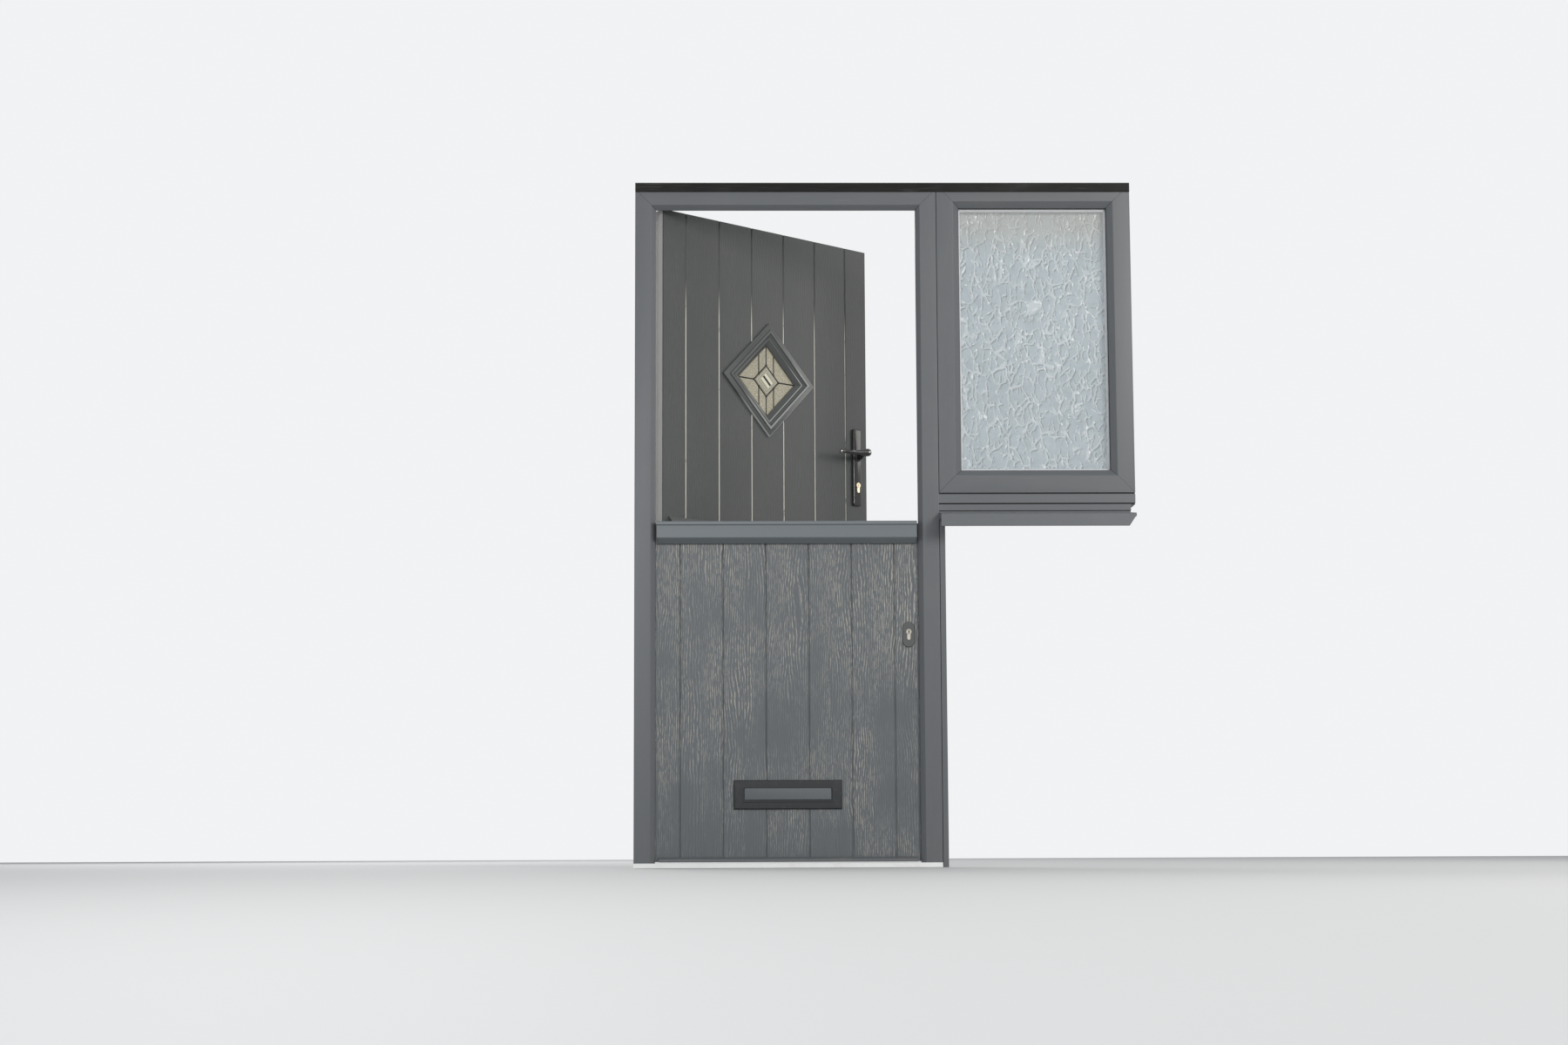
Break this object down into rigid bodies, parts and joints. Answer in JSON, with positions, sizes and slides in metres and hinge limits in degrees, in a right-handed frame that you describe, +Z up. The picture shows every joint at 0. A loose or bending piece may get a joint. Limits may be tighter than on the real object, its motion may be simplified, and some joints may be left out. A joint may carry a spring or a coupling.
{
  "type": "stable door",
  "caption": "Stable door with separately hung top and bottom leaves in a frame, with a side light over a cill, a diamond light, lever handles and a letter plate.",
  "frame": {"origin": "on the underside of the threshold, midway across the door frame and midway through its depth", "axes": "+X to the right as seen from outside, +Y into the house, +Z up"},
  "size_m": [1.516, 0.6954, 2.088],
  "materials": {
    "anthracite_profile": "wood-grained foil outside, white inside, satin",
    "anthracite_trim": "satin",
    "white_profile": "smooth, satin",
    "outer_skin": "moulded wood grain, satin",
    "inner_skin": "moulded wood grain, satin",
    "leaf_edge": "smooth, satin",
    "foam": "open cells, matt",
    "seal_rubber": "matt",
    "window_glass": "obscure, crinkled",
    "light_glass": "obscure, with a bevelled centre tile",
    "spacer_metal": "mill finish",
    "lead": "dull",
    "lock_steel": "brushed",
    "cylinder_brass": "satin",
    "cylinder_nickel": "satin nickel",
    "black_fittings": "gloss",
    "white_fittings": "gloss",
    "grey_fittings": "satin",
    "bolt_chrome": "polished"
  },
  "bodies": {
    "frame": {"hinge_jamb": "anthracite_profile", "lock_jamb": "anthracite_profile", "frame_head": "anthracite_profile", "threshold": "white_profile", "lock_sections": "anthracite_profile", "head_trim": "anthracite_profile", "packing_strips": "anthracite_profile", "frame_seal": "seal_rubber", "lock_keeps": "lock_steel", "jamb_hinges": "white_fittings", "hinge_pins": "lock_steel", "window_frame": "anthracite_profile", "window_beads": "white_profile", "window_panes": "window_glass", "window_spacer": "spacer_metal", "window_seal": "seal_rubber", "window_strip": "anthracite_profile", "window_cill": "anthracite_profile", "cill_cap": "anthracite_trim"},
    "bottom_leaf": {"bottom_edge_frame": "leaf_edge", "bottom_outer_skin": "outer_skin", "bottom_inner_skin": "inner_skin", "bottom_foam_core": "foam", "bottom_leaf_hinges": "white_fittings", "weather_bar": "anthracite_trim", "weather_bar_caps": "anthracite_trim", "drip_bar": "anthracite_trim", "bottom_lock_case": "lock_steel", "bottom_key_cylinder": "cylinder_nickel", "key_escutcheons": "grey_fittings", "letter_frame": "grey_fittings", "letter_inner_frame": "white_fittings", "barrel_bolt_body": "bolt_chrome"},
    "bottom_key": {"bottom_key_plug": "cylinder_nickel"},
    "bottom_bolt": {"bottom_deadbolt": "lock_steel"},
    "flap": {"letter_flap": "grey_fittings"},
    "inner_flap": {"letter_inner_flap": "white_fittings"},
    "rod": {"barrel_bolt_rod": "bolt_chrome"},
    "top_leaf": {"top_edge_frame": "leaf_edge", "top_outer_skin": "outer_skin", "top_inner_skin": "inner_skin", "top_foam_core": "foam", "top_leaf_hinges": "white_fittings", "weather_rail": "anthracite_trim", "light_outer_frame": "grey_fittings", "light_inner_frame": "white_profile", "light_panes": "light_glass", "light_spacer": "spacer_metal", "light_leading": "lead", "top_lock_case": "lock_steel", "top_key_cylinder": "cylinder_brass", "outer_handle_plate": "black_fittings", "inner_handle_plate": "black_fittings", "barrel_bolt_keep": "bolt_chrome"},
    "levers": {"outer_lever": "black_fittings", "inner_lever": "black_fittings", "lever_spindle": "lock_steel"},
    "latch": {"latch_bolt": "lock_steel"},
    "top_key": {"top_key_plug": "cylinder_brass"},
    "top_bolt": {"top_deadbolt": "lock_steel"}
  },
  "joints": [
    {"name": "top_leaf_hinge", "type": "hinge", "parent": "frame", "child": "top_leaf", "pos_m": [-0.413, 0.044, 1.53], "axis": [0, 0, 1], "range_deg": [-38.35, 51.65]},
    {"name": "bottom_leaf_hinge", "type": "hinge", "parent": "frame", "child": "bottom_leaf", "pos_m": [-0.413, 0.044, 0.53], "axis": [0, 0, 1], "range_deg": [0, 90]},
    {"name": "lever_turn", "type": "hinge", "parent": "top_leaf", "child": "levers", "pos_m": [0.21901, 0.50068, 1.325], "axis": [0.6205, -0.7842, 0], "range_deg": [0, 35], "stiffness_Nm_per_rad": 2, "springref_deg": -20.05},
    {"name": "latch_slide", "type": "slide", "parent": "top_leaf", "child": "latch", "axis": [0.7842, 0.6205, 0], "range_m": [-0.011, 0]},
    {"name": "top_key_turn", "type": "hinge", "parent": "top_leaf", "child": "top_key", "pos_m": [0.21901, 0.50068, 1.233], "axis": [0.6205, -0.7842, 0], "range_deg": [0, 360]},
    {"name": "top_bolt_slide", "type": "slide", "parent": "top_leaf", "child": "top_bolt", "axis": [0.7842, 0.6205, 0], "range_m": [0, 0.02]},
    {"name": "bottom_key_turn", "type": "hinge", "parent": "bottom_leaf", "child": "bottom_key", "pos_m": [0.366, 0.01, 0.705], "axis": [0, -1, 0], "range_deg": [0, 360]},
    {"name": "bottom_bolt_slide", "type": "slide", "parent": "bottom_leaf", "child": "bottom_bolt", "axis": [1, 0, 0], "range_m": [0, 0.02]},
    {"name": "flap_hinge", "type": "hinge", "parent": "bottom_leaf", "child": "flap", "pos_m": [0, -0.018, 0.238], "axis": [1, 0, 0], "range_deg": [0, 80], "stiffness_Nm_per_rad": 0.06, "springref_deg": -28.65},
    {"name": "inner_flap_hinge", "type": "hinge", "parent": "bottom_leaf", "child": "inner_flap", "pos_m": [0, 0.0455, 0.252], "axis": [1, 0, 0], "range_deg": [0, 85], "stiffness_Nm_per_rad": 0.06, "springref_deg": -28.65},
    {"name": "rod_slide", "type": "slide", "parent": "bottom_leaf", "child": "rod", "axis": [0, 0, 1], "range_m": [0, 0.025]}
  ],
  "couplings": [
    {"joint": "latch_slide", "follows": "lever_turn", "m_per_rad": -0.018007},
    {"joint": "top_key_turn", "follows": "top_bolt_slide", "rad_per_m": 314.16},
    {"joint": "bottom_key_turn", "follows": "bottom_bolt_slide", "rad_per_m": 314.16}
  ]
}
